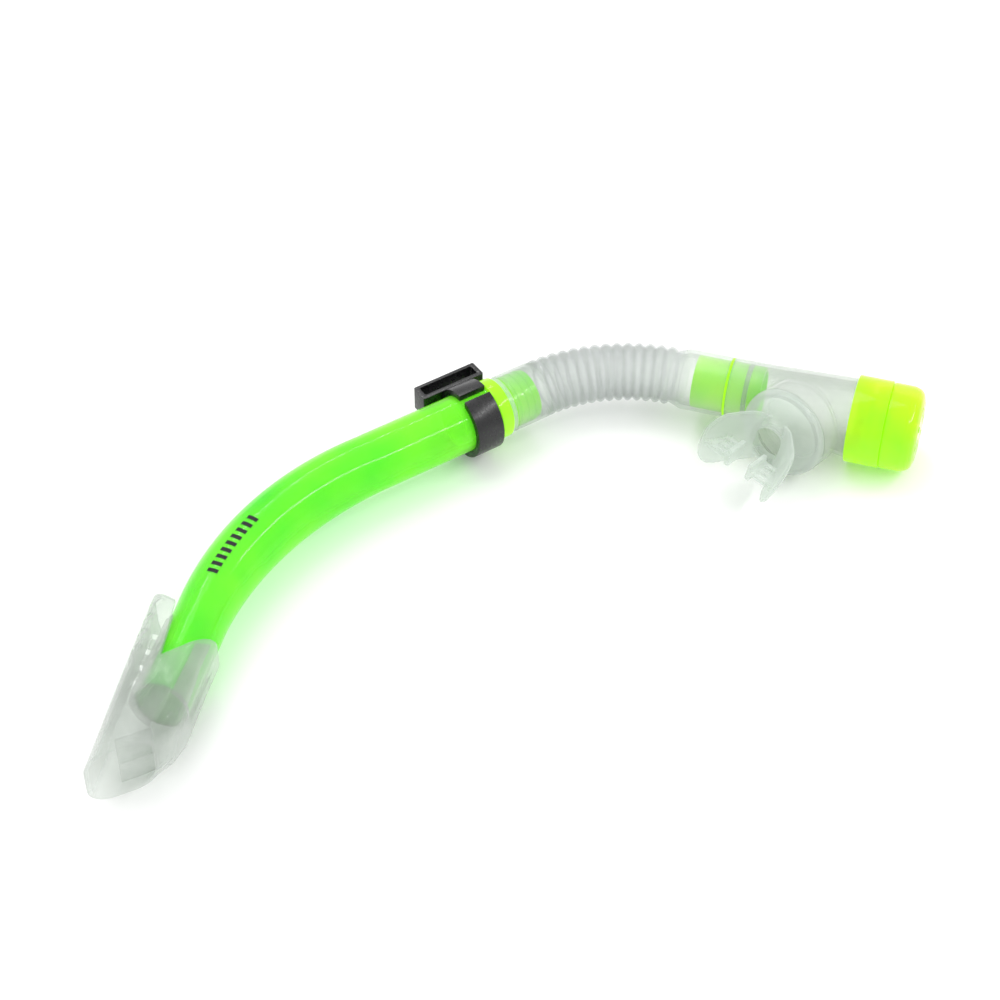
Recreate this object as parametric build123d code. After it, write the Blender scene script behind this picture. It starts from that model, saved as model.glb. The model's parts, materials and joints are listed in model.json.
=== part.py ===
from build123d import *
import os
from math import atan2, cos, degrees, radians, sin, tan

# Snorkel tube, in millimetres. It lies on its side, so the plane that its centreline bends in is level.
# +X runs along the barrel's straight lower end towards the hose, and +Z is up.
# The sub-parts are built about the centre of the connector's flange, on the level centreline plane.
# Then everything is shifted so that the origin is below the middle of the whole object,
# on the surface it lies on.

# Barrel
BARREL_R = 12.5
BARREL_WALL = 1.4
STRAIGHT = 65.0             # from the flange's hose face to where the bend starts
BEND_R = 146.0
BEND_ANGLE = 42.5
TAIL = 46.0                 # straight end, inside the splash guard
MID_HALF = (12.6, 13.4)     # half width across and half depth, halfway round the bend
TOP_HALF = (10.9, 12.2)     # the same where the barrel enters the guard
BEND_STEPS = 5

# Connector between barrel and hose
FLANGE_R = 13.25
FLANGE_T = 6.0
PLUG_LENGTH = 16.0
SPIGOT_LENGTH = 15.0
SPIGOT_R = 10.9
CONNECTOR_BORE = 9.4
SEAL_T = 2.0
SEAL_AT = 0.4               # the seal's flange face stands this far off the flange
FIT = 0.06                  # clearance on the radius where one tube turns in another
SPIGOT_RIBS = (5.0, 8.5, 12.0)
SPIGOT_RIB_T = 1.2

# Corrugated hose
HOSE_R = 12.5
CUFF_BORE = 11.4
HOSE_ARC_R = 70.0
HOSE_ANGLE = 50.5
RIB_COUNT = 14
RIB_T = 2.3
CORE_R = 11.3
CORE_BORE = 10.2
HOSE_START = 2.9
HOSE_CORNER = 52.8          # where the barrel's axis and the lower tube's axis cross
CUFF_STEP = 4.5             # solid length beyond the last rib, before the cuff's bore

# Lower tube: distances along its axis from the corner where it would meet the barrel's axis
SPIGOT_FROM = 43.0
SEAM = 57.4
SEAM_T = 1.0
COUPLING_TO = 72.5
COUPLING_R = 13.1
SOCKET_BORE = 11.7
RING_GROOVE = 65.0
GROOVE_T = 2.2
GROOVE_DEPTH = 1.2
COUPLING_BORE = 9.6

# Chamber: widens from the coupling to the purge end, more on the mouthpiece side
CHAMBER_WALL = 1.5
CHAMBER_END_R = 17.1
CHAMBER_SHIFT = 3.7
COLLAR_FROM = 112.0
CHAMBER_TO = 118.4

# Purge end
COLLAR_R = 18.7
CAP_R = 18.4
CAP_FROM = 126.9
CAP_TO = 141.0
SEAT_AT = 119.0
SEAT_T = 2.0
SEAT_BORE = 12.3
SPOKE_T = 1.8
COLLAR_BORE = 16.0          # where the cap's skirt snaps in
HUB_R = 3.0
STEM_R = 1.4
STEM_HOLE = 1.5
VALVE_R = 13.6
VALVE_T = 0.9
VALVE_LIFT = 1.2
SKIRT_R = 15.9
CAP_BORE = 14.4
CAP_FACE_T = 2.4
CAP_CHAMFER = 2.2
VENTS = 8
VENT = (8.0, 2.6)           # length outwards and width
VENT_AT = 9.0

# Mouthpiece port
PORT_CENTRE = (101.2, -78.0)
PORT_HEADING = -164.0
PORT_RISE = 8.0
PORT_R = 19.4
PORT_TO = 9.7               # the boot's rim stands here, from the port's centre
PORT_ROOT_R = 12.5          # where the port's flare starts, inside the chamber
PORT_ROOT = -12.0
NOSE = 3.0                  # how far the nose runs into the boot
BOOT_R = 19.5
BOOT_WALL = 1.6
NECK_AT = 19.0
PASSAGE_R = 7.2
BOOT_BAND = 3.2             # straight band at the boot's rim
BOOT_THROAT_R = 16.0

# Bite flange: a curved wing on each side of the neck
FLANGE_TURN = -8.0
WING_DEPTH = 27.0
WING_LINE = (                # back of the wing: across and outwards, from the neck to the tip
    (5.0, 1.4),
    (12.2, 10.8),
    (20.0, WING_DEPTH),
)
WING_LINE_IN = (             # its face towards the mouth
    (4.2, 3.2),
    (10.5, 11.8),
    (18.1, WING_DEPTH),
)
WING_HEIGHT = 32.0
WING_T = 2.0
WING_CORNER = 11.0
TAB_T = 2.6
TAB_OUT = (15.0, 26.0)      # the tab's two ends, outwards from the flange's back
TAB_ROOT = (13.3, 18.3)     # how far across it runs at each end, into the wing
TAB_IN = 5.0                # the tab's inner edge, from the flange's middle
TAB_LIP = (2.4, 8.0)        # width and height of the lip on that edge

# Keeper that holds the snorkel to a mask strap
KEEPER_BORE = 12.8
KEEPER_R = 15.5
KEEPER_X = (-19.5, -7.0)
LOOP_X = (-28.5, 1.5)
LOOP_GAP = 5.0
LOOP_Z = (-2.6, 8.0)
LOOP_FLOOR = 0.8            # loop's wall against the ring
LOOP_BACK = 1.5             # its outer wall
LOOP_END = 2.0              # its walls across the barrel
SLIT = 3.8                  # split in the ring
SLIT_AT = -2.0

# Splash guard, in its own axes: x along the barrel's end, y across towards the inside of the bend
GUARD_WALL = 1.5
GUARD_HALF_DEPTH = 13.4
GUARD_CORNER = 8.5
GUARD_STATIONS = (          # along, crest outwards, floor inwards
    (-6, 19.8, 12.4),
    (31, 17.9, 12.4),
    (56, 16.4, 13.2),
    (64, 15.9, 11.6),
    (71, 15.5, 7.6),
    (96, 14.0, 7.0),
)
SLEEVE_FROM = 10.0
SLEEVE_WALL = (1.5, 1.1)    # across and in depth
THROAT = ((-30, 40), (-30, -8), (5, -8), (33, -4), (16.8, 12.4), (8, 40))
BROW = ((-30, -40), (-3, -40), (0.8, -20), (5, -8), (5, 0), (-30, 0))
MOUTH = ((70, 7.6), (88, -14.4), (100, -30), (130, -30), (130, 30), (70, 30))
DRAIN_ROWS = 4
DRAIN_PITCH = 8.2
DRAIN_FROM = 7.0
DRAIN_SLOPE = 52.0
DRAIN = (9.0, 9.0, 2.0)
DRAIN_AT = (-17.5, 8.5)     # across, and to each side of the middle
BAFFLE_LENGTH = 14.0
BAFFLE_T = 1.2
BAFFLE_AT = (71.0, -1.0)
BAFFLE_RIB = (12.0, 1.6, 1.2)

CORNER_X = HOSE_ARC_R * tan(radians(HOSE_ANGLE / 2))
HOSE_BEND_X = HOSE_CORNER - CORNER_X


def axis_plane(origin, heading, rise=0.0):
    """A plane whose normal points along a heading in the level plane, raised by rise degrees."""
    level = cos(radians(rise))
    normal = Vector(level * cos(radians(heading)), level * sin(radians(heading)), sin(radians(rise)))
    across = Vector(-sin(radians(heading)), cos(radians(heading)), 0)
    return Plane(origin=origin, x_dir=across, z_dir=normal)


def disc(plane, radius, start, end):
    """A solid cylinder on a plane's normal between two distances."""
    at = plane.offset(start)
    return extrude(at * Circle(radius), amount=end - start)


def tube(plane, radius, bore, start, end):
    return disc(plane, radius, start, end) - disc(plane, bore, start - 1, end + 1)


# ---------------------------------------------------------------- barrel

def bend_point(angle):
    """Centre of the barrel, and the heading away from the flange, at an angle round the bend."""
    turn = radians(angle)
    x = -STRAIGHT - BEND_R * sin(turn)
    y = -BEND_R * (1 - cos(turn))
    return (x, y, 0), 180 + angle


def oval_at(fraction):
    """Half width and half depth of the barrel at a fraction of the bend."""
    ends = ((BARREL_R, BARREL_R), TOP_HALF)
    bulge = 4 * fraction * (1 - fraction)
    sizes = []
    for first, last, middle in zip(ends[0], ends[1], MID_HALF):
        straight = first + (last - first) * fraction
        sizes.append(straight + (middle - (first + last) / 2) * bulge)
    return sizes


def barrel_core(inset, extra):
    """The barrel as a solid, set in by a wall thickness and run past both ends by extra."""
    level = disc(axis_plane((0, 0, 0), 180), BARREL_R - inset, FLANGE_T - extra, STRAIGHT)
    sections = []
    for step in range(BEND_STEPS + 1):
        point, heading = bend_point(BEND_ANGLE * step / BEND_STEPS)
        across, depth = oval_at(step / BEND_STEPS)
        sections.append(axis_plane(point, heading) * Ellipse(across - inset, depth - inset))
    bend = loft(sections)
    point, heading = bend_point(BEND_ANGLE)
    end_oval = axis_plane(point, heading) * Ellipse(TOP_HALF[0] - inset, TOP_HALF[1] - inset)
    return level + bend + extrude(end_oval, amount=TAIL + extra)


def make_barrel():
    return barrel_core(0, 0) - barrel_core(BARREL_WALL, 2)


# ---------------------------------------------------------------- connector and hose

def make_connector():
    """Flanged sleeve: a plug in the barrel and a ribbed spigot that the hose turns on."""
    line = axis_plane((0, 0, 0), 0)
    flange = chamfer(disc(line, FLANGE_R, -FLANGE_T, 0).edges().filter_by(GeomType.CIRCLE), 0.5)
    plug = disc(line, BARREL_R - BARREL_WALL - 0.05, -FLANGE_T - PLUG_LENGTH, -FLANGE_T)
    spigot = disc(line, SPIGOT_R, 0, SPIGOT_LENGTH)
    body = flange + plug + spigot
    for at in SPIGOT_RIBS:
        body += disc(line, CUFF_BORE - FIT, at, at + SPIGOT_RIB_T)
    return body - disc(line, CONNECTOR_BORE, -30, 30)


def make_connector_seal():
    line = axis_plane((0, 0, 0), 0)
    return tube(line, HOSE_R - 0.4, SPIGOT_R + 0.02, SEAL_AT, SEAL_AT + SEAL_T)


def lower_axis(shift=0.0):
    """Axis of the lower tube, from the corner, moved towards the mouthpiece side by shift."""
    heading = -HOSE_ANGLE
    side = Vector(-sin(radians(HOSE_ANGLE)), -cos(radians(HOSE_ANGLE)), 0)
    corner = Vector(HOSE_CORNER, 0, 0) + side * shift
    return axis_plane(corner, heading)


def hose_station(fraction):
    """A plane across the hose at a fraction of its arc."""
    angle = HOSE_ANGLE * fraction
    x = HOSE_BEND_X + HOSE_ARC_R * sin(radians(angle))
    y = -HOSE_ARC_R * (1 - cos(radians(angle)))
    return axis_plane((x, y, 0), -angle)


def hose_core(radius):
    """Round bar along the hose's arc."""
    start = hose_station(0)
    path = CenterArc((HOSE_BEND_X, -HOSE_ARC_R, 0), HOSE_ARC_R, 90, -HOSE_ANGLE)
    return sweep(start * Circle(radius), path=path)


def make_hose():
    start = axis_plane((0, 0, 0), 0)
    end = lower_axis()
    cuff_step = CORNER_X + CUFF_STEP
    body = tube(start, HOSE_R, CUFF_BORE, HOSE_START, HOSE_BEND_X - 2)
    body += disc(start, HOSE_R, HOSE_BEND_X - 2, HOSE_BEND_X) - disc(start, CORE_BORE, 0, 2 * HOSE_BEND_X)
    body += hose_core(CORE_R) - hose_core(CORE_BORE)
    for rib in range(RIB_COUNT):
        middle = hose_station((rib + 0.5) / RIB_COUNT)
        body += tube(middle, HOSE_R, (CORE_BORE + CORE_R) / 2, -RIB_T / 2, RIB_T / 2)
    body += disc(end, HOSE_R, CORNER_X, cuff_step) - disc(end, CORE_BORE, 0, 2 * CORNER_X)
    return body + tube(end, COUPLING_R, CUFF_BORE, cuff_step, SEAM - 0.1)


def make_coupling():
    """Green sleeve fixed in the hose's lower cuff, with a spigot that turns in the chamber."""
    line = lower_axis()
    body = disc(line, CUFF_BORE - 0.02, SPIGOT_FROM, SEAM)
    body += disc(line, COUPLING_R - 0.1, SEAM, SEAM + SEAM_T)
    body += disc(line, SOCKET_BORE - FIT, SEAM + SEAM_T, COUPLING_TO)
    body -= disc(line, COUPLING_BORE, SPIGOT_FROM - 1, COUPLING_TO + 1)
    return body - tube(line, SOCKET_BORE + 1, SOCKET_BORE - GROOVE_DEPTH, RING_GROOVE, RING_GROOVE + GROOVE_T)


def make_coupling_seal():
    start = RING_GROOVE + 0.1
    end = RING_GROOVE + GROOVE_T - 0.1
    return tube(lower_axis(), SOCKET_BORE - 0.05, SOCKET_BORE - GROOVE_DEPTH + 0.05, start, end)


# ---------------------------------------------------------------- chamber

def chamber_core(inset, extra):
    """The widening tube as a solid, set in by a wall thickness."""
    first = lower_axis().offset(COUPLING_TO) * Circle(COUPLING_R + 0.1 - inset)
    last = lower_axis(CHAMBER_SHIFT).offset(COLLAR_FROM) * Circle(CHAMBER_END_R - inset)
    cone = loft([first, last])
    end = disc(lower_axis(CHAMBER_SHIFT), CHAMBER_END_R - inset, COLLAR_FROM, CHAMBER_TO + extra)
    return cone + end


def port_axis():
    return axis_plane((PORT_CENTRE[0], PORT_CENTRE[1], 0), PORT_HEADING, PORT_RISE)


def port_boss(inset):
    """Flared neck on the chamber, with a nose that carries the mouthpiece's boot."""
    line = port_axis()
    flare = loft([line.offset(PORT_ROOT) * Circle(PORT_ROOT_R - inset), line * Circle(PORT_R - inset)])
    nose = disc(line, BOOT_R - BOOT_WALL - FIT - inset, 0, PORT_TO + NOSE + inset)
    return flare + disc(line, PORT_R - inset, 0, PORT_TO - inset) + nose


def make_chamber():
    line = lower_axis()
    shell = chamber_core(0, 0) + disc(line, COUPLING_R + 0.1, SEAM + SEAM_T + 0.15, COUPLING_TO)
    shell += port_boss(0)
    shell -= chamber_core(CHAMBER_WALL, 2)
    shell -= disc(line, SOCKET_BORE, SEAM, COUPLING_TO + 0.1)
    return shell - port_boss(CHAMBER_WALL)


# ---------------------------------------------------------------- purge valve

def make_purge_seat():
    """Collar round the chamber's end, with the valve's seat and a hub on four spokes."""
    line = lower_axis(CHAMBER_SHIFT)
    body = tube(line, COLLAR_R, CHAMBER_END_R + 0.03, COLLAR_FROM, SEAT_AT)
    body += tube(line, COLLAR_R, SEAT_BORE, SEAT_AT, SEAT_AT + SEAT_T)
    body += tube(line, COLLAR_R, COLLAR_BORE, SEAT_AT + SEAT_T, CAP_FROM - 0.2)
    hub = disc(line, HUB_R, SEAT_AT, SEAT_AT + SEAT_T)
    spoke = Box(2 * SEAT_BORE + 1, SPOKE_T, SEAT_T)
    for turn in (0, 90):
        hub += line.offset(SEAT_AT + SEAT_T / 2) * Rot(0, 0, turn) * spoke
    return body + hub - disc(line, STEM_HOLE, SEAT_AT - 1, SEAT_AT + SEAT_T + 1)


def make_purge_valve():
    """Soft mushroom valve: a disc outside the seat, a stem, and a bulb that keeps it in the hub."""
    line = lower_axis(CHAMBER_SHIFT)
    face = SEAT_AT + SEAT_T + 0.05
    bulb = SEAT_AT - VALVE_LIFT - 0.6
    body = disc(line, VALVE_R, face, face + VALVE_T)
    body += disc(line, STEM_R, bulb - 1, face)
    return body + disc(line, STEM_R + 0.6, bulb - 2.2, bulb)


def make_purge_cap():
    """Vented cap with a skirt that snaps into the collar."""
    line = lower_axis(CHAMBER_SHIFT)
    outer = disc(line, CAP_R, CAP_FROM, CAP_TO)
    rim = outer.edges().filter_by(GeomType.CIRCLE).sort_by(Axis(line.origin, line.z_dir))[-1]
    body = chamfer(rim, CAP_CHAMFER) + disc(line, SKIRT_R, SEAT_AT + SEAT_T + 2.4, CAP_FROM)
    body -= disc(line, CAP_BORE, SEAT_AT, CAP_TO - CAP_FACE_T)
    slot = Pos(VENT_AT, 0) * SlotOverall(*VENT)
    for vent in range(VENTS):
        body -= extrude(line.offset(CAP_TO - 4) * Rot(0, 0, 360 / VENTS * vent) * slot, amount=6)
    return body


# ---------------------------------------------------------------- mouthpiece

def flange_axes():
    """Axes of the bite flange: x across the wings, y their height, z out to the mouth."""
    line = port_axis()
    turned = line.rotated((0, 0, FLANGE_TURN))
    return turned.offset(NECK_AT)


def boot():
    """Round boot that narrows from the port to the neck, with its passage."""
    line = port_axis()
    band = PORT_TO + BOOT_BAND
    outer = disc(line, BOOT_R, PORT_TO + 0.1, band)
    dome = ((band, BOOT_R), (band + 2.5, 17.0), (NECK_AT - 1.5, 12.6), (NECK_AT + 1.5, 9.8))
    outer += loft([line.offset(at) * Circle(radius) for at, radius in dome], ruled=True)
    inner = disc(line, BOOT_R - BOOT_WALL, 0, band)
    inner += loft([line.offset(band) * Circle(BOOT_THROAT_R), line.offset(NECK_AT - 2) * Circle(PASSAGE_R)])
    return outer, inner


def wing_curve(line, back):
    """Smooth curve through a wing line and its mirror image, with the neck's point in the middle."""
    far = [(-across, out) for across, out in reversed(line)]
    return Spline(*far, (0, back), *line)


def wing_shell():
    """Flange of two wings that open to the mouth, with rounded ends."""
    outer = wing_curve(WING_LINE, 0)
    inner = wing_curve(WING_LINE_IN, WING_T)
    ends = [Line(outer @ end, inner @ end) for end in (0, 1)]
    shell = Rot(90, 0, 0) * extrude(make_face([outer, inner, *ends]), amount=WING_HEIGHT / 2, both=True)
    outline = RectangleRounded(2 * WING_DEPTH, WING_HEIGHT, WING_CORNER)
    wings = shell & (Rot(0, 90, 0) * extrude(outline, amount=2 * WING_DEPTH, both=True))
    return flange_axes() * wings


def bite_tab(side):
    """Tab between the teeth, with a raised lip along its inner edge."""
    near, far = TAB_OUT
    outline = ((TAB_IN, near), (TAB_ROOT[0], near), (TAB_ROOT[1], far), (TAB_IN, far))
    face = make_face(Polyline(*[(side * across, out) for across, out in outline], close=True))
    plate = Rot(90, 0, 0) * extrude(face, amount=TAB_T / 2, both=True)
    lip = Pos(side * (TAB_IN + 0.5), 0, (near + far) / 2) * Box(TAB_LIP[0], TAB_LIP[1], far - near)
    return flange_axes() * (plate + lip)


def make_mouthpiece():
    outer, inner = boot()
    body = outer + wing_shell() + bite_tab(1) + bite_tab(-1)
    return body - inner - disc(port_axis(), PASSAGE_R, 12, NECK_AT + 6)


# ---------------------------------------------------------------- keeper

def make_keeper():
    """Split ring round the barrel, with a rectangular loop for the mask strap on its back."""
    line = axis_plane((0, 0, 0), 0)
    ring = tube(line, KEEPER_R, KEEPER_BORE, KEEPER_X[0], KEEPER_X[1])
    slit = Pos((KEEPER_X[0] + KEEPER_X[1]) / 2, SLIT_AT, KEEPER_R) * Box(20, SLIT, 8)
    inner_y = KEEPER_R - 0.6
    outer_y = inner_y + LOOP_FLOOR + LOOP_GAP
    middle_x = (LOOP_X[0] + LOOP_X[1]) / 2
    middle_z = (LOOP_Z[0] + LOOP_Z[1]) / 2
    length = LOOP_X[1] - LOOP_X[0]
    height = LOOP_Z[1] - LOOP_Z[0]
    root_y = inner_y - 1.2
    depth = outer_y + LOOP_BACK - root_y
    gap_y = inner_y + LOOP_FLOOR + LOOP_GAP / 2
    block = Pos(middle_x, root_y + depth / 2, middle_z) * Box(length, depth, height)
    gap = Pos(middle_x, gap_y, middle_z) * Box(length - 2 * LOOP_END, LOOP_GAP, height + 2)
    loop = fillet((block - gap).edges().filter_by(Axis.Z), 0.8)
    clear = disc(line, FLANGE_R + 0.5, KEEPER_X[0] - 20, KEEPER_X[1] + 20)
    return ring - slit + (loop - clear)


# ---------------------------------------------------------------- splash guard

def guard_axes():
    """Axes at the bend's end: x away from the flange along the barrel, y to the inside of the bend."""
    point, heading = bend_point(BEND_ANGLE)
    forward = Vector(cos(radians(heading)), sin(radians(heading)), 0)
    return Plane(origin=point, x_dir=forward, z_dir=(0, 0, 1))


def guard_station(along, across):
    """A plane across the guard."""
    return guard_axes() * Plane(origin=(along, across, 0), x_dir=(0, 1, 0), z_dir=(1, 0, 0))


def guard_core(inset):
    """Hooded envelope: crest on the outside of the bend, flat across the mouth."""
    sections = []
    for along, crest, floor in GUARD_STATIONS:
        high = floor - inset
        low = -(crest - inset)
        station = guard_station(along, (high + low) / 2)
        depth = 2 * (GUARD_HALF_DEPTH - inset)
        sections.append(station * RectangleRounded(high - low, depth, GUARD_CORNER - inset))
    return loft(sections, ruled=True)


def guard_sleeve():
    """Oval sleeve that grips the barrel's end."""
    station = guard_station(SLEEVE_FROM, 0)
    outer = Ellipse(TOP_HALF[0] + SLEEVE_WALL[0], TOP_HALF[1] + SLEEVE_WALL[1])
    inner = Ellipse(TOP_HALF[0] + 0.02, TOP_HALF[1] + 0.02)
    return extrude(station * (outer - inner), amount=TAIL + 2 - SLEEVE_FROM)


def side_cut(points):
    """A prism through the whole guard, from an outline in its own axes."""
    return extrude(guard_axes() * make_face(Polyline(*points, close=True)), amount=40, both=True)


def make_splash_guard():
    envelope = guard_core(0)
    body = envelope - guard_core(GUARD_WALL) + (guard_sleeve() & envelope)
    body = body - side_cut(THROAT) - side_cut(BROW) - side_cut(MOUTH) - barrel_core(-0.03, 0)
    for row in range(DRAIN_ROWS):
        along = DRAIN_FROM + DRAIN_PITCH * row
        for side in (1, -1):
            place = guard_axes() * Pos(along, DRAIN_AT[0], side * DRAIN_AT[1])
            body -= place * Rot(0, side * DRAIN_SLOPE, 0) * Box(*DRAIN)
    return body


def make_deflector():
    """Baffle behind the mouth, with a centre rib, that turns spray away from the barrel."""
    (near_x, near_y), (far_x, far_y) = MOUTH[:2]
    slope = degrees(atan2(far_y - near_y, far_x - near_x))
    frame = guard_axes() * Pos(BAFFLE_AT[0], BAFFLE_AT[1], 0) * Rot(0, 0, slope)
    plate = frame * Box(BAFFLE_LENGTH, BAFFLE_T, 2 * (GUARD_HALF_DEPTH - GUARD_WALL) - 0.1)
    rib = frame * Pos(0, 1.0, 0) * Box(*BAFFLE_RIB)
    return (plate + rib) & guard_core(GUARD_WALL + 0.05)


PARTS = {
    "barrel": make_barrel,
    "barrel_connector": make_connector,
    "connector_seal": make_connector_seal,
    "corrugated_hose": make_hose,
    "hose_coupling": make_coupling,
    "coupling_seal": make_coupling_seal,
    "chamber": make_chamber,
    "mouthpiece": make_mouthpiece,
    "purge_seat": make_purge_seat,
    "purge_valve": make_purge_valve,
    "purge_cap": make_purge_cap,
    "keeper_clip": make_keeper,
    "splash_guard": make_splash_guard,
    "splash_deflector": make_deflector,
}


def main():
    os.makedirs("parts", exist_ok=True)
    solids = {name: make() for name, make in PARTS.items()}
    boxes = [solid.bounding_box() for solid in solids.values()]
    low = [min(tuple(box.min)[axis] for box in boxes) for axis in range(3)]
    high = [max(tuple(box.max)[axis] for box in boxes) for axis in range(3)]
    shift = Pos(-(low[0] + high[0]) / 2, -(low[1] + high[1]) / 2, -low[2])
    for name, solid in solids.items():
        export_step(shift * solid, os.path.join("parts", name + ".step"))


main()
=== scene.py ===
import json
import math

import bpy
import bmesh
from mathutils import Matrix, Vector


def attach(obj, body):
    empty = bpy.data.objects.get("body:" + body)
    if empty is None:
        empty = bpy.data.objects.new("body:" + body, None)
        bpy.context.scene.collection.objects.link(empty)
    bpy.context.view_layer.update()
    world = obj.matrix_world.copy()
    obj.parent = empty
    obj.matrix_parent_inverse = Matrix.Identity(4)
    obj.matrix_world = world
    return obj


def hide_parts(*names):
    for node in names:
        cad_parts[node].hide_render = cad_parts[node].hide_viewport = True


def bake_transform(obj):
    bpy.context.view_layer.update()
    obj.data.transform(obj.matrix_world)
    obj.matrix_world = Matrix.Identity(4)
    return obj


# Snorkel tube. Lengths named _MM and all local coordinates are millimetres; the scene is in metres.
MM = 0.001
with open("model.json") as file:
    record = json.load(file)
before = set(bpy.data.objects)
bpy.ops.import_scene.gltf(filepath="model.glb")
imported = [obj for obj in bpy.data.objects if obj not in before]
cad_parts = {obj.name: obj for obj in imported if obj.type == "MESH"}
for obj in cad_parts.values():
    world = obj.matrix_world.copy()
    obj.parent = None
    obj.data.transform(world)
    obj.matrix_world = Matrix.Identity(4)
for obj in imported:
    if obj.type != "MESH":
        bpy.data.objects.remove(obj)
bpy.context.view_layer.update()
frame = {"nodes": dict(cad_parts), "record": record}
JOINTS = {j["name"]: j for j in frame["record"]["behaviour"]["joints"]}

# Places, all read from the frame
ORIGIN = Vector(JOINTS["hose_swivel"]["pos_m"])           # centre of the connector flange's hose face
CORNER = Vector(JOINTS["hose_bend"]["pos_m"])             # where the barrel's and the lower tube's axes cross
LOWER = Vector(JOINTS["chamber_turn"]["axis"]).normalized()
PORT = Vector(JOINTS["mouthpiece_turn"]["pos_m"])
PORT_DIR = Vector(JOINTS["mouthpiece_turn"]["axis"]).normalized()
X, Z = Vector((1, 0, 0)), Vector((0, 0, 1))
ROUND = 96                                                # points round a tube
AXIS_R = 0.001                                            # radius of a turned piece where it meets its axis


# ---------------------------------------------------------------- materials

NOISE_LOW, NOISE_HIGH = 0.3, 0.7                          # where most of a noise texture's values lie
SWELL_SCALE, CLOUD_SCALE, MOTTLE_SCALE = 60.0, 26.0, 120.0    # per metre
SCUFF_STRETCH = (1, 1, 0.35)
BUMP_DEPTH = 0.0004                                       # metres
CLEAR_BUMP = 0.12
PLASTIC_IOR = 1.49
SLANT_BLEND = 0.35


def material(name):
    m = bpy.data.materials.new(name)
    m.use_nodes = True
    m.node_tree.nodes.clear()
    return m, m.node_tree


def add(nt, kind, **inputs):
    node = nt.nodes.new(kind)
    for key, value in inputs.items():
        socket = node.inputs[key.replace("_", " ")]
        if isinstance(value, bpy.types.NodeSocket):
            nt.links.new(value, socket)
        else:
            socket.default_value = value
    return node


def noise(nt, scale, detail, stretch=(1, 1, 1)):
    """A noise texture's value over the piece's own place in space; scale is per metre."""
    where = add(nt, "ShaderNodeTexCoord")
    mapping = add(nt, "ShaderNodeMapping", Vector=where.outputs["Object"])
    mapping.inputs["Scale"].default_value = stretch
    node = add(nt, "ShaderNodeTexNoise", Vector=mapping.outputs["Vector"], Scale=scale, Detail=detail)
    return node.outputs[0]


def ramp(nt, factor, low, high):
    """A colour that runs from low to high as a noise value rises."""
    node = add(nt, "ShaderNodeValToRGB", Fac=factor)
    node.color_ramp.elements[0].position = NOISE_LOW
    node.color_ramp.elements[1].position = NOISE_HIGH
    node.color_ramp.elements[0].color = (*low, 1)
    node.color_ramp.elements[1].color = (*high, 1)
    return node.outputs["Color"]


def span(nt, value, low, high):
    """A number that runs from low to high as a noise value rises."""
    node = add(nt, "ShaderNodeMapRange", Value=value)
    node.inputs["From Min"].default_value = NOISE_LOW
    node.inputs["From Max"].default_value = NOISE_HIGH
    node.inputs["To Min"].default_value = low
    node.inputs["To Max"].default_value = high
    return node.outputs["Result"]


def surface_wear(nt, body, rough, bump, grain):
    """Soft unevenness of a moulding, and fine scuffs, in the roughness and the bump."""
    swell = noise(nt, SWELL_SCALE, 2.0)
    scuff = noise(nt, grain, 6.0, SCUFF_STRETCH)
    both = add(nt, "ShaderNodeMath")
    both.operation = "MULTIPLY"
    nt.links.new(swell, both.inputs[0])
    nt.links.new(scuff, both.inputs[1])
    nt.links.new(span(nt, scuff, rough[0], rough[1]), body.inputs["Roughness"])
    height = add(nt, "ShaderNodeMath")
    height.operation = "ADD"
    nt.links.new(both.outputs[0], height.inputs[0])
    nt.links.new(swell, height.inputs[1])
    lift = add(nt, "ShaderNodeBump", Height=height.outputs[0], Strength=bump, Distance=BUMP_DEPTH)
    nt.links.new(lift.outputs["Normal"], body.inputs["Normal"])


def clear_plastic(name, tints, colours, solid, rough=(0.04, 0.12), grain=900.0, edge=0.5, painted_glow=None):
    """See-through moulding: light passes tinted, and a share of each surface shows its own gloss and colour.

    solid is the share that lets no light through, where the surface is met head on. edge is how much more
    of it shows at a slant. painted_glow is the colour and strength of a painted glow: emission that brightens
    the moulding though it is no lamp."""
    m, nt = material(name)
    cloud = noise(nt, CLOUD_SCALE, 3.0)
    body = add(nt, "ShaderNodeBsdfPrincipled")
    nt.links.new(ramp(nt, cloud, *colours), body.inputs["Base Color"])
    body.inputs["IOR"].default_value = PLASTIC_IOR
    surface_wear(nt, body, rough, CLEAR_BUMP, grain)
    # Painted glow: emission that makes the moulding shine as if lit, though it is no lamp.
    if painted_glow:
        body.inputs["Emission Color"].default_value = (*painted_glow[:3], 1)
        body.inputs["Emission Strength"].default_value = painted_glow[3]
    through = add(nt, "ShaderNodeBsdfTransparent")
    nt.links.new(ramp(nt, cloud, *tints), through.inputs["Color"])
    slant = add(nt, "ShaderNodeLayerWeight", Blend=SLANT_BLEND)
    share = add(nt, "ShaderNodeMapRange", Value=slant.outputs["Facing"])
    share.inputs["To Min"].default_value = solid
    share.inputs["To Max"].default_value = min(1.0, solid + edge)
    mix = add(nt, "ShaderNodeMixShader", Fac=share.outputs["Result"])
    nt.links.new(through.outputs[0], mix.inputs[1])
    nt.links.new(body.outputs[0], mix.inputs[2])
    out = add(nt, "ShaderNodeOutputMaterial")
    nt.links.new(mix.outputs[0], out.inputs["Surface"])
    return m


def solid_plastic(name, colours, rough, bump, grain):
    m, nt = material(name)
    body = add(nt, "ShaderNodeBsdfPrincipled")
    cloud = noise(nt, MOTTLE_SCALE, 5.0)
    nt.links.new(ramp(nt, cloud, *colours), body.inputs["Base Color"])
    surface_wear(nt, body, rough, bump, grain)
    out = add(nt, "ShaderNodeOutputMaterial")
    nt.links.new(body.outputs[0], out.inputs["Surface"])
    return m


# The three lime finishes carry a painted glow in their emission, a brightening that stands in for light.
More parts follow.
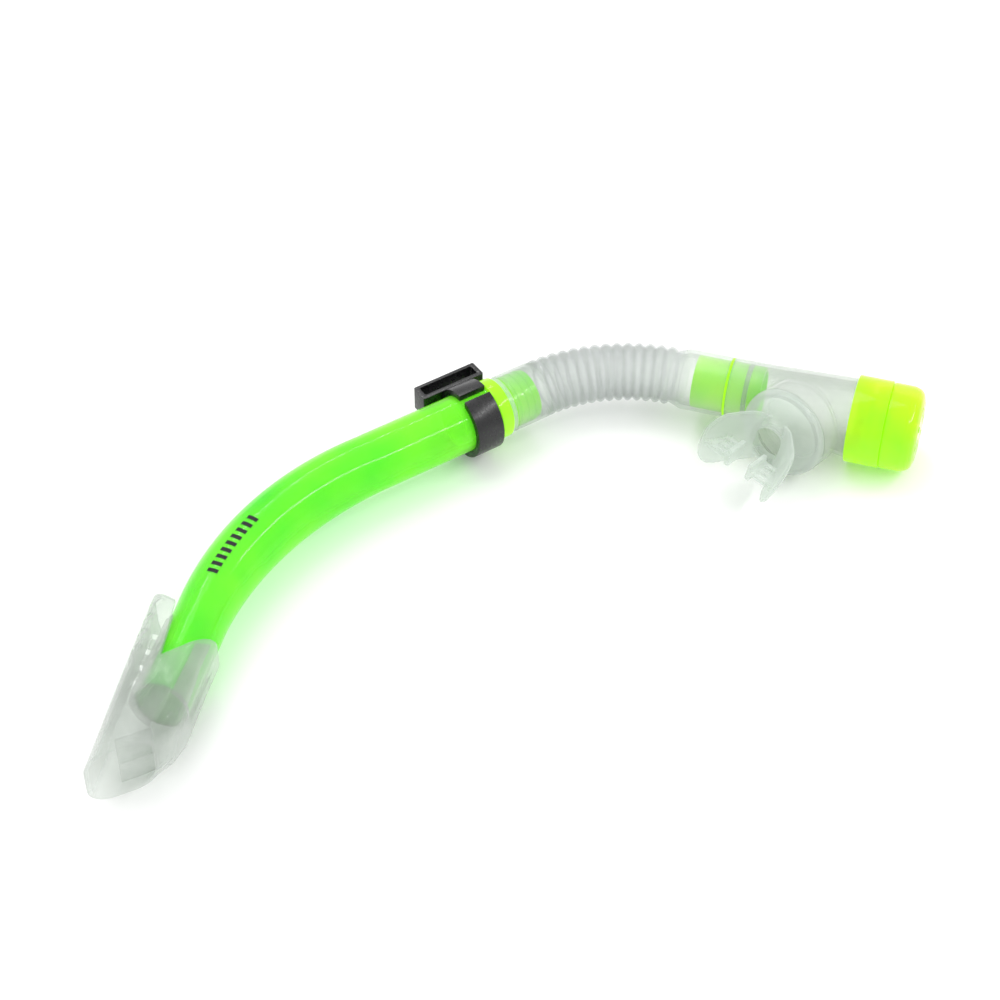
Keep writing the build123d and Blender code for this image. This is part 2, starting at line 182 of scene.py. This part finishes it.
LIME = clear_plastic("lime_barrel", ((0.58, 1.0, 0.42), (0.74, 1.0, 0.50)),
                     ((0.10, 0.66, 0.05), (0.30, 0.84, 0.05)), 0.30, painted_glow=(0.16, 1.0, 0.05, 0.10), edge=0.45)
COUPLING = clear_plastic("lime_coupling", ((0.66, 1.0, 0.34), (0.84, 1.0, 0.36)),
                         ((0.20, 0.80, 0.05), (0.48, 0.88, 0.01)), 0.62, painted_glow=(0.42, 1.0, 0.01, 0.20))
PURGE_LIME = clear_plastic("lime_purge_end", ((0.80, 1.0, 0.30), (0.92, 1.0, 0.34)),
                           ((0.30, 0.84, 0.04), (0.60, 0.90, 0.01)), 0.42, painted_glow=(0.50, 1.0, 0.01, 0.22))
CLEAR = clear_plastic("clear_moulding", ((0.925, 0.94, 0.925), (0.95, 0.965, 0.95)),
                      ((0.48, 0.51, 0.48), (0.66, 0.69, 0.66)), 0.13, edge=0.55)
HOSE = clear_plastic("clear_hose_vinyl", ((0.93, 0.94, 0.935), (0.96, 0.97, 0.965)),
                     ((0.40, 0.42, 0.415), (0.58, 0.60, 0.595)), 0.15, edge=0.55)
CUFF = clear_plastic("clear_hose_cuff", ((0.96, 0.97, 0.96), (0.98, 0.985, 0.98)),
                     ((0.42, 0.46, 0.43), (0.56, 0.60, 0.57)), 0.10, edge=0.5)
SILICONE = clear_plastic("clear_silicone_rubber", ((0.90, 0.935, 0.905), (0.93, 0.955, 0.93)),
                         ((0.62, 0.68, 0.63), (0.76, 0.81, 0.77)), 0.24, (0.12, 0.26), 1400.0, 0.45)
INK = solid_plastic("printed_ink", ((0.004, 0.004, 0.004), (0.010, 0.010, 0.010)), (0.65, 0.85), 0.10, 1500.0)
BLACK = solid_plastic("black_moulding", ((0.003, 0.003, 0.0035), (0.009, 0.009, 0.010)), (0.22, 0.40), 0.22,
                      1100.0)

NODE_MATERIALS = {
    "barrel": LIME, "barrel_connector": COUPLING, "connector_seal": SILICONE, "corrugated_hose": HOSE,
    "hose_coupling": COUPLING, "coupling_seal": SILICONE, "chamber": CLEAR, "mouthpiece": SILICONE,
    "purge_seat": PURGE_LIME, "purge_valve": SILICONE, "purge_cap": PURGE_LIME, "keeper_clip": BLACK,
    "splash_guard": CLEAR, "splash_deflector": CLEAR,
}


def dress_nodes():
    for node, finish in NODE_MATERIALS.items():
        mesh = frame["nodes"][node].data
        mesh.materials.clear()
        mesh.materials.append(finish)


# ---------------------------------------------------------------- mesh tools

def at(x, y, z=0.0):
    """A point given in millimetres from the flange's centre, in metres in the scene."""
    return ORIGIN + Vector((x, y, z)) * MM


def piece(name, verts, faces, finish, node, body):
    mesh = bpy.data.meshes.new(name)
    mesh.from_pydata([tuple(v) for v in verts], [], faces)
    mesh.validate()
    bm = bmesh.new()
    bm.from_mesh(mesh)
    bmesh.ops.remove_doubles(bm, verts=bm.verts, dist=1e-7)
    bmesh.ops.recalc_face_normals(bm, faces=bm.faces)
    bm.to_mesh(mesh)
    bm.free()
    mesh.materials.append(finish)
    obj = bpy.data.objects.new(name, mesh)
    bpy.context.collection.objects.link(obj)
    shade(obj)
    declare(obj, node, body)
    return obj


def declare(obj, node, body):
    """Hides the CAD node that the piece stands for, and attaches the piece to the body that it moves with."""
    if node:
        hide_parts(node)
    if body:
        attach(obj, body)


def shade(obj, degrees=40.0):
    """Smooth shading, with creases where faces meet more sharply than this."""
    obj.data.shade_smooth()
    obj.data.set_sharp_from_angle(angle=math.radians(degrees))


def apply_modifiers(obj):
    bpy.context.view_layer.update()
    done = bpy.data.meshes.new_from_object(obj.evaluated_get(bpy.context.evaluated_depsgraph_get()))
    obj.modifiers.clear()
    done.name = obj.name
    obj.data = done


def cut_away(obj, verts, faces):
    """Cuts a closed shape out of a piece."""
    mesh = bpy.data.meshes.new("cutter")
    mesh.from_pydata([tuple(v) for v in verts], [], faces)
    tool = bpy.data.objects.new("cutter", mesh)
    bpy.context.collection.objects.link(tool)
    bm = bmesh.new()
    bm.from_mesh(mesh)
    bmesh.ops.recalc_face_normals(bm, faces=bm.faces)
    bm.to_mesh(mesh)
    bm.free()
    cut = obj.modifiers.new("cut", "BOOLEAN")
    cut.operation = "DIFFERENCE"
    cut.object = tool
    cut.solver = "EXACT"
    apply_modifiers(obj)
    bpy.data.objects.remove(tool)


def skin(rings, around=ROUND):
    """Quads over rings of points, the last ring joined to the first: a closed wall."""
    verts = [p for ring in rings for p in ring]
    faces = []
    count = len(rings)
    for i in range(count):
        a, b = i * around, ((i + 1) % count) * around
        for j in range(around):
            k = (j + 1) % around
            faces.append((a + j, a + k, b + k, b + j))
    return verts, faces


def ring(centre, side, up, across, depth=None, around=ROUND):
    """An oval of points: centre in metres, half width and half depth in millimetres."""
    depth = across if depth is None else depth
    turn = 2 * math.pi / around
    return [centre + side * (across * MM * math.cos(turn * i)) + up * (depth * MM * math.sin(turn * i))
            for i in range(around)]


def rounded(profile, radius=0.35, steps=3):
    """A closed profile of (along, radius) points with its corners rounded."""
    result = []
    count = len(profile)
    for i, here in enumerate(profile):
        here = Vector(here)
        back, ahead = Vector(profile[i - 1]) - here, Vector(profile[(i + 1) % count]) - here
        reach = min(radius, back.length * 0.45, ahead.length * 0.45)
        first, last = here + back.normalized() * reach, here + ahead.normalized() * reach
        for step in range(steps + 1):
            t = step / steps
            result.append(first * (1 - t) ** 2 + here * 2 * t * (1 - t) + last * t * t)
    return result


def axes_of(direction):
    """Two directions square to this one, the first as level as possible."""
    side = Z.cross(direction).normalized()
    return side, direction.cross(side).normalized()


def lathe(name, centre, direction, profile, finish, node, body):
    """A turned piece: its profile is (along, radius) in millimetres, from a centre in metres."""
    side, up = axes_of(direction)
    rings = [ring(centre + direction * (along * MM), side, up, max(radius, AXIS_R))
             for along, radius in profile]
    verts, faces = skin(rings)
    return piece(name, verts, faces, finish, node, body)


# ---------------------------------------------------------------- barrel

BARREL_R, BARREL_WALL = 12.5, 1.4
STRAIGHT, BEND_R, BEND_ANGLE, TAIL = 65.0, 146.0, 42.5, 46.0
MID_HALF, TOP_HALF = (12.6, 13.4), (10.9, 12.2)
FLANGE_T = 6.0
BARREL_STEPS, BARREL_RIM = 110, 0.35
SLEEVE_AT = 184.0                                         # where the guard's sleeve starts
SLEEVE_GAP, SLEEVE_RAMP = 0.18, 4.0  # how far the barrel draws in there, and over what length
BARS, BAR_FROM, BAR_PITCH, BAR_LONG, BAR_LIFT = 9, 127.0, 3.9, 2.0, 0.04
BAR_TURN_FROM, BAR_TURN = 79.0, 22.0                      # degrees round the barrel
BAR_ROWS, BAR_COLUMNS = 4, 8
ARC = BEND_R * math.radians(BEND_ANGLE)
BARREL_END = STRAIGHT + ARC + TAIL


def barrel_station(along):
    """Centre, heading and half sizes of the barrel at a distance from the flange's hose face."""
    turn = min(max((along - STRAIGHT) / BEND_R, 0.0), math.radians(BEND_ANGLE))
    fraction = turn / math.radians(BEND_ANGLE)
    x = -min(along, STRAIGHT) - BEND_R * math.sin(turn)
    y = -BEND_R * (1 - math.cos(turn))
    heading = Vector((-math.cos(turn), -math.sin(turn), 0))
    past = max(along - STRAIGHT - ARC, 0.0)
    bulge = 4 * fraction * (1 - fraction)
    sizes = []
    for last, middle in zip(TOP_HALF, MID_HALF):
        sizes.append(BARREL_R + (last - BARREL_R) * fraction + (middle - (BARREL_R + last) / 2) * bulge)
    return at(x, y) + heading * (past * MM), heading, sizes


def barrel():
    """Tube with rounded rims: a closed line of (distance along, inset from the outside), swept round."""
    first, last, rim = FLANGE_T, BARREL_END, BARREL_RIM
    places = [first + (last - first) * i / BARREL_STEPS for i in range(1, BARREL_STEPS)]
    outer = [(along, 0.0) for along in places]
    inner = [(along, BARREL_WALL) for along in places]
    loop = [(first, rim), (first + rim, 0.0)] + outer + [(last - rim, 0.0), (last, rim)]
    loop += [(last, BARREL_WALL - rim), (last - rim, BARREL_WALL)] + inner[::-1]
    loop += [(first + rim, BARREL_WALL), (first, BARREL_WALL - rim)]
    rings = []
    for along, inset in loop:
        centre, heading, (across, depth) = barrel_station(along)
        if inset < BARREL_WALL / 2:
            inset += SLEEVE_GAP * min(max((along - SLEEVE_AT) / SLEEVE_RAMP, 0.0), 1.0)
        rings.append(ring(centre, Z.cross(heading), Z, across - inset, depth - inset))
    verts, faces = skin(rings)
    piece("barrel_tube", verts, faces, LIME, "barrel", "barrel")


def printed_bars():
    """A plain row of short bars printed on the barrel's top."""
    verts, faces = [], []
    stride = BAR_COLUMNS + 1
    for bar in range(BARS):
        start = BAR_FROM + BAR_PITCH * bar
        base = len(verts)
        for i in range(BAR_ROWS + 1):
            centre, heading, (across, depth) = barrel_station(start + BAR_LONG * i / BAR_ROWS)
            side = Z.cross(heading)
            for j in range(stride):
                turn = math.radians(BAR_TURN_FROM + BAR_TURN * j / BAR_COLUMNS)
                verts.append(centre + side * ((across + BAR_LIFT) * MM * math.cos(turn))
                             + Z * ((depth + BAR_LIFT) * MM * math.sin(turn)))
        for i in range(BAR_ROWS):
            for j in range(BAR_COLUMNS):
                a = base + i * stride + j
                faces.append((a, a + 1, a + stride + 1, a + stride))
    piece("printed_bars", verts, faces, INK, None, "barrel")


# ---------------------------------------------------------------- mouldings taken from the CAD shape

BEVEL_FROM_DEG = 28.0                                     # edges sharper than this are rounded
SOFTENED = (                                              # node, piece, body, finish, width of the rounding
    ("barrel_connector", "connector_moulding", "barrel", "coupling_green", 0.25),
    ("splash_guard", "guard_moulding", "barrel", "clear_plastic", 0.35),
    ("splash_deflector", "deflector_plate", "barrel", "clear_plastic", 0.2),
    ("keeper_clip", "keeper_moulding", "keeper", "keeper_black", 0.45),
    ("hose_coupling", "coupling_moulding", "coupling", "coupling_green", 0.2),
    ("purge_seat", "collar_moulding", "chamber", "coupling_green", 0.5),
    ("chamber", "chamber_moulding", "chamber", "clear_plastic", 0.3),
)


def softened(node, name, body, slot, width):
    """A copy of a CAD node's surface with its edges rounded."""
    mesh = frame["nodes"][node].data.copy()
    mesh.name = name
    obj = bpy.data.objects.new(name, mesh)
    bpy.context.collection.objects.link(obj)
    bm = bmesh.new()
    bm.from_mesh(mesh)
    bmesh.ops.remove_doubles(bm, verts=bm.verts, dist=2e-6)
    bmesh.ops.dissolve_limit(bm, angle_limit=math.radians(0.6), verts=bm.verts, edges=bm.edges)
    bm.to_mesh(mesh)
    bm.free()
    if "custom_normal" in mesh.attributes:
        mesh.attributes.remove(mesh.attributes["custom_normal"])
    bevel = obj.modifiers.new("edge", "BEVEL")
    bevel.width = width * MM
    bevel.segments = 3
    bevel.limit_method = "ANGLE"
    bevel.angle_limit = math.radians(BEVEL_FROM_DEG)
    bevel.use_clamp_overlap = True
    apply_modifiers(obj)
    shade(obj, 35.0)
    declare(obj, node, body)


# ---------------------------------------------------------------- purge end

PURGE_OFFSET = 3.7  # the purge end's axis lies this far beside the tube's
PURGE = CORNER + Vector((LOWER[1], -LOWER[0], 0)).normalized() * (PURGE_OFFSET * MM)
CAP_FROM, CAP_TO, CAP_R = 126.9, 140.9, 18.4
SKIRT_FROM, SKIRT_R = 123.6, 15.9
VENTS, VENT_AT, VENT_REACH, VENT_R, VENT_POINTS = 8, 9.0, 2.7, 1.3, 20


def purge_cap():
    """Domed cap with its skirt inside the collar and a ring of vents."""
    top = CAP_TO
    profile = [(CAP_FROM, CAP_R), (top - 5.2, 18.35), (top - 2.4, 17.4), (top - 0.9, 15.8), (top, 12.6),
               (top, 0.0), (top - 2.3, 0.0), (top - 2.4, 13.9), (SKIRT_FROM, 14.4), (SKIRT_FROM, SKIRT_R),
               (CAP_FROM, SKIRT_R)]
    obj = lathe("purge_cap_shell", PURGE, LOWER, rounded(profile, 0.9, 4), PURGE_LIME, "purge_cap", "chamber")
    side, up = axes_of(LOWER)
    verts, faces = [], []
    for vent in range(VENTS):
        turn = 2 * math.pi * vent / VENTS
        out = side * math.cos(turn) + up * math.sin(turn)
        wide = LOWER.cross(out)
        base = len(verts)
        for along in (top - 6, top + 2):
            for i in range(VENT_POINTS):
                angle = 2 * math.pi * i / VENT_POINTS
                shift = VENT_REACH if math.cos(angle) > 0 else -VENT_REACH
                far = VENT_AT + shift + VENT_R * math.cos(angle)
                verts.append(PURGE + LOWER * (along * MM) + out * (far * MM)
                             + wide * (VENT_R * MM * math.sin(angle)))
        for i in range(VENT_POINTS):
            j = (i + 1) % VENT_POINTS
            faces.append((base + i, base + j, base + VENT_POINTS + j, base + VENT_POINTS + i))
        faces.append(tuple(base + i for i in range(VENT_POINTS - 1, -1, -1)))
        faces.append(tuple(base + VENT_POINTS + i for i in range(VENT_POINTS)))
    cut_away(obj, verts, faces)
    shade(obj, 38.0)


# ---------------------------------------------------------------- hose

HOSE_R, CUFF_BORE, HOSE_ARC_R, HOSE_ANGLE, RIBS = 12.5, 11.4, 70.0, 50.5, 14
HOSE_START = 2.9
RIB_STEPS, RIB_SHARPNESS = 16, 0.55
RIB_OUT, RIB_IN, RIB_WALL = 1.35, 1.15, 0.95              # depth outside and inside, and the wall on a crest
CORNER_X = HOSE_ARC_R * math.tan(math.radians(HOSE_ANGLE / 2))
HOSE_BEND = (CORNER - ORIGIN).length / MM - CORNER_X
HOSE_LENGTH = HOSE_ARC_R * math.radians(HOSE_ANGLE)
COUPLING_R, SEAM = 13.1, 57.4
HOSE_END = HOSE_BEND + HOSE_LENGTH + SEAM - 0.1 - CORNER_X


def hose_station(along):
    turn = min(max((along - HOSE_BEND) / HOSE_ARC_R, 0.0), math.radians(HOSE_ANGLE))
    x = min(along, HOSE_BEND) + HOSE_ARC_R * math.sin(turn)
    y = -HOSE_ARC_R * (1 - math.cos(turn))
    heading = Vector((math.cos(turn), -math.sin(turn), 0))
    past = max(along - HOSE_BEND - HOSE_LENGTH, 0.0)
    return at(x, y) + heading * (past * MM), heading


def rib_height(along):
    """How far the corrugation stands up at a distance along the hose, from 0 in a valley to 1 on a crest."""
    share = (along - HOSE_BEND) / HOSE_LENGTH
    if not 0 <= share <= 1:
        return 1.0
    wave = 0.5 - 0.5 * math.cos(2 * math.pi * share * RIBS)
    return wave ** RIB_SHARPNESS


def hose():
    """Corrugated tube between two plain cuffs, tied to no body."""
    inner = []
    outer = [(HOSE_START + 0.4 + (HOSE_BEND - 1 - HOSE_START) * i / 4, HOSE_R) for i in range(5)]
    steps = RIBS * RIB_STEPS
    for i in range(steps + 1):
        along = HOSE_BEND + HOSE_LENGTH * i / steps
        valley = 1 - rib_height(along)
        outer.append((along, HOSE_R - RIB_OUT * valley))
        inner.append((along, HOSE_R - RIB_WALL - RIB_IN * valley))
    cuff = HOSE_BEND + HOSE_LENGTH + 4.5
    outer += [(cuff - 0.8, HOSE_R), (cuff + 0.6, COUPLING_R), (HOSE_END - 0.4, COUPLING_R)]
    inner += [(cuff, 10.6), (cuff + 0.5, CUFF_BORE), (HOSE_END - 0.3, CUFF_BORE)]
    start = [(HOSE_START, HOSE_R - 0.35), (HOSE_START, CUFF_BORE + 0.3), (HOSE_START + 0.3, CUFF_BORE)]
    end = [(HOSE_END, COUPLING_R - 0.35), (HOSE_END, CUFF_BORE + 0.3)]
    loop = outer + end + inner[::-1] + [(HOSE_BEND - 2, CUFF_BORE)] + start[::-1]
    rings = []
    for along, radius in loop:
        centre, heading = hose_station(along)
        rings.append(ring(centre, Z.cross(heading), Z, radius))
    verts, faces = skin(rings)
    obj = piece("hose_corrugations", verts, faces, HOSE, "corrugated_hose", None)
    obj.data.materials.append(CUFF)
    ends = (at(HOSE_BEND - 1.5, 0), hose_station(HOSE_BEND + HOSE_LENGTH + 3)[0])
    for face in obj.data.polygons:
        if (face.center - ends[0]).dot(X) < 0 or (face.center - ends[1]).dot(LOWER) > 0:
            face.material_index = 1
    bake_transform(obj)


# ---------------------------------------------------------------- mouthpiece

BOOT_R, BOOT_WALL, PORT_TO, NECK_AT, PASSAGE_R = 19.5, 1.6, 9.7, 19.0, 7.2
FLANGE_TURN = -8.0
WING_LINE = [(0.0, 0.0), (2.6, 0.3), (5.0, 1.4), (8.5, 5.2), (12.2, 10.8), (16.2, 18.8), (20.0, 27.0)]
WING_HEIGHT, WING_T = 28.2, 2.0
LEAN = 15.0                                               # degrees that the soft lower wing has twisted
TAB_FROM, TAB_LONG, TAB_STEPS, TAB_HALF = 15.0, 11.0, 6, 1.3
VOXEL = 0.00045                                           # metres


def boot_solid():
    """Round boot that narrows to the neck, as a turned shell."""
    root = PORT_TO + 0.1
    profile = [(root, BOOT_R), (11.6, BOOT_R), (14.0, 18.9), (16.2, 17.4), (18.0, 15.2), (19.4, 12.8),
               (20.6, 10.9), (23.5, 9.8), (23.5, PASSAGE_R), (19.6, PASSAGE_R), (18.2, 9.0), (16.8, 12.4),
               (14.8, 15.6), (12.9, 17.0), (12.9, BOOT_R - BOOT_WALL), (root, BOOT_R - BOOT_WALL)]
    side, up = axes_of(PORT_DIR)
    rings = [ring(PORT + PORT_DIR * (s * MM), side, up, r, around=64) for s, r in rounded(profile, 0.8)]
    return skin(rings, 64)


def flange_frame():
    """Matrix with x across the wings, y their height and z out to the mouth, in millimetres at the neck."""
    side, up = axes_of(PORT_DIR)
    turn = math.radians(FLANGE_TURN)
    across = side * math.cos(turn) + up * math.sin(turn)
    height = PORT_DIR.cross(across)
    place = Matrix((across * MM, height * MM, PORT_DIR * MM)).transposed().to_4x4()
    place.translation = PORT + PORT_DIR * (NECK_AT * MM)
    return place


def along_line(points, share):
    """A point at a share of a line's length, and the direction there."""
    runs = [(Vector(b) - Vector(a)).length for a, b in zip(points, points[1:])]
    left = share * sum(runs)
    for (a, b), run in zip(zip(points, points[1:]), runs):
        if left <= run or b == points[-1]:
            a, b = Vector(a), Vector(b)
            return a + (b - a) * min(left / run, 1.0), (b - a).normalized()
        left -= run


def smooth_line(points, rounds=3):
    """The same line with its corners cut again and again."""
    for _ in range(rounds):
        cut = [points[0]]
        for a, b in zip(points, points[1:]):
            a, b = Vector(a), Vector(b)
            cut += [tuple(a * 0.75 + b * 0.25), tuple(a * 0.25 + b * 0.75)]
        points = cut + [points[-1]]
    return points


def wing_solid():
    """Flange of two wings with rounded ends, as a closed shell whose edge is thinner than its middle."""
    columns, rows = 72, 24
    far = [(-x, z) for x, z in reversed(WING_LINE[1:])]
    line = smooth_line(far + WING_LINE)
    length = sum((Vector(b) - Vector(a)).length for a, b in zip(line, line[1:])) / 2
    corner = WING_HEIGHT / 2 * 0.80
    verts, faces = [], []
    for face in (0, 1):
        for i in range(columns + 1):
            u = -1 + 2 * i / columns
            short = max(0.0, abs(u) * length - (length - corner)) / corner
            half = WING_HEIGHT / 2 * (0.12 + 0.88 * math.sqrt(max(0.0, 1 - short ** 2.3)))
            half -= 4.0 * math.exp(-(u * length / 7.0) ** 2)
            place, heading = along_line(line, (u + 1) / 2)
            inwards = Vector((-heading[1], heading[0]))
            for j in range(rows + 1):
                v = -1 + 2 * j / rows
                thin = 0.55 * max(0.0, (max(abs(v), short * 0.98) - 0.72) / 0.28) ** 2
                p = place + inwards * (thin if face == 0 else WING_T - thin)
                height = v * half
                lean = math.radians(-LEAN) * min(max(u * 1.6, 0.0), 1.0) ** 2
                verts.append(Vector((p[0] - height * math.sin(lean), height * math.cos(lean), p[1])))
    stride = rows + 1
    sheet = (columns + 1) * stride
    for i in range(columns):
        for j in range(rows):
            a = i * stride + j
            faces.append((a, a + 1, a + stride + 1, a + stride))
            b = a + sheet
            faces.append((b, b + stride, b + stride + 1, b + 1))
    rim = [i * stride for i in range(columns + 1)]
    rim += [columns * stride + j for j in range(1, rows + 1)]
    rim += [i * stride + rows for i in range(columns - 1, -1, -1)]
    rim += [j for j in range(rows - 1, 0, -1)]
    for i, a in enumerate(rim):
        b = rim[(i + 1) % len(rim)]
        faces.append((a, b, b + sheet, a + sheet))
    place = flange_frame()
    return [place @ v for v in verts], faces


def block(place, low, high):
    """A box between two corners given in the flange's own axes."""
    corners = [(x, y, z) for x in (low[0], high[0]) for y in (low[1], high[1]) for z in (low[2], high[2])]
    faces = [(0, 1, 3, 2), (4, 6, 7, 5), (0, 4, 5, 1), (2, 3, 7, 6), (0, 2, 6, 4), (1, 5, 7, 3)]
    return [place @ Vector(c) for c in corners], faces


def mouthpiece():
    """Boot, flange and tabs melted into one soft moulding."""
    place = flange_frame()
    parts = [boot_solid(), wing_solid()]
    for side in (1, -1):
        for step in range(TAB_STEPS):
            low = TAB_FROM + TAB_LONG * step / TAB_STEPS
            high = low + TAB_LONG / TAB_STEPS + 0.05
            reach = sorted((5.0 * side, (13.6 + 5.0 * (step + 0.5) / TAB_STEPS) * side))
            parts.append(block(place, (reach[0], -TAB_HALF, low), (reach[1], TAB_HALF, high)))
        lip = sorted((4.3 * side, 6.7 * side))
        parts.append(block(place, (lip[0], -4.0, TAB_FROM), (lip[1], 4.0, TAB_FROM + TAB_LONG)))
        for rise in (17.5, 22.0):
            stud = sorted((8.5 * side, 12.5 * side))
            parts.append(block(place, (stud[0], -2.6, rise), (stud[1], 2.6, rise + 1.8)))
    verts, faces = [], []
    for some, quads in parts:
        base = len(verts)
        verts += some
        faces += [tuple(base + i for i in quad) for quad in quads]
    obj = piece("mouthpiece_moulding", verts, faces, SILICONE, "mouthpiece", None)
    melt = obj.modifiers.new("melt", "REMESH")
    melt.mode = "VOXEL"
    melt.voxel_size = VOXEL
    melt.use_smooth_shade = True
    soft = obj.modifiers.new("soft", "SMOOTH")
    soft.factor = 0.5
    soft.iterations = 5
    apply_modifiers(obj)
    side, up = axes_of(PORT_DIR)
    ends = [ring(PORT + PORT_DIR * (s * MM), side, up, PASSAGE_R, around=64) for s in (17.0, 24.5)]
    faces = [(j, (j + 1) % 64, 64 + (j + 1) % 64, 64 + j) for j in range(64)]
    faces += [tuple(range(64))[::-1], tuple(range(64, 128))]
    cut_away(obj, ends[0] + ends[1], faces)
    shade(obj, 50.0)
    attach(obj, "mouthpiece")


# ---------------------------------------------------------------- stage, light and camera

FLOOR_HALF, FLOOR_DROP = 4.0, 0.0005                      # metres
WORLD_STRENGTH = 0.96
LAMPS = (  # name, place, aim, size, watts, long side's direction
    ("key", (0.05, 0.45, 1.15), (0, 0, 0), (0.7, 0.7), 3.4, (1, 0, 0)),
    ("strip_near", (0.50, -0.52, 0.80), (-0.05, 0.02, 0.02), (0.95, 0.03), 3.6, (0.65, 0.55, 0.0)),
    ("strip_far", (0.10, 0.75, 0.85), (0.05, 0.0, 0.02), (0.8, 0.03), 1.6, (1, 0, 0)),
)
CAMERA_BACK = Vector((-0.3937, -0.5948, 0.7009)).normalized()
CAMERA_AT = Vector((-414.157, -627.035, 682.552)) * MM    # from the flange's centre
LENS_MM, SENSOR_MM, CLIP_NEAR = 85.7, 36.0, 0.01


def stage():
    m, nt = material("pale_floor")
    body = add(nt, "ShaderNodeBsdfPrincipled", Roughness=0.7)
    grain = noise(nt, 3.0, 4.0)
    nt.links.new(ramp(nt, grain, (0.93, 0.93, 0.93), (0.96, 0.96, 0.96)), body.inputs["Base Color"])
    out = add(nt, "ShaderNodeOutputMaterial")
    nt.links.new(body.outputs[0], out.inputs["Surface"])
    mesh = bpy.data.meshes.new("floor")
    bm = bmesh.new()
    bmesh.ops.create_grid(bm, x_segments=8, y_segments=8, size=FLOOR_HALF)
    bm.to_mesh(mesh)
    bm.free()
    floor = bpy.data.objects.new("floor", mesh)
    floor.location = (0, 0, -FLOOR_DROP)
    mesh.materials.append(m)
    bpy.context.collection.objects.link(floor)


def area_light(name, where, aim, size, power, along):
    """A rectangular lamp that looks at aim, with its long side along a direction."""
    data = bpy.data.lights.new(name, "AREA")
    data.shape = "RECTANGLE"
    data.size, data.size_y = size
    data.energy = power
    lamp = bpy.data.objects.new(name, data)
    back = (Vector(where) - Vector(aim)).normalized()
    long_side = Vector(along)
    long_side = (long_side - back * long_side.dot(back)).normalized()
    turn = Matrix((long_side, back.cross(long_side), back)).transposed().to_4x4()
    lamp.matrix_world = Matrix.Translation(where) @ turn
    bpy.context.collection.objects.link(lamp)


def lights():
    world = bpy.data.worlds.new("studio")
    bpy.context.scene.world = world
    world.use_nodes = True
    background = world.node_tree.nodes["Background"]
    background.inputs["Color"].default_value = (1, 1, 1, 1)
    background.inputs["Strength"].default_value = WORLD_STRENGTH
    for lamp in LAMPS:
        area_light(*lamp)
    bpy.context.scene.view_settings.view_transform = "Standard"


def camera():
    data = bpy.data.cameras.new("camera")
    data.lens = LENS_MM
    data.sensor_width = SENSOR_MM
    data.clip_start = CLIP_NEAR
    cam = bpy.data.objects.new("camera", data)
    right = Z.cross(CAMERA_BACK).normalized()
    up = CAMERA_BACK.cross(right)
    turn = Matrix((right, up, CAMERA_BACK)).transposed().to_4x4()
    cam.matrix_world = Matrix.Translation(ORIGIN + CAMERA_AT) @ turn
    bpy.context.collection.objects.link(cam)
    bpy.context.scene.camera = cam


dress_nodes()
barrel()
printed_bars()
for row in SOFTENED:
    softened(*row)
purge_cap()
hose()
mouthpiece()
stage()
lights()
camera()
bpy.context.view_layer.update()
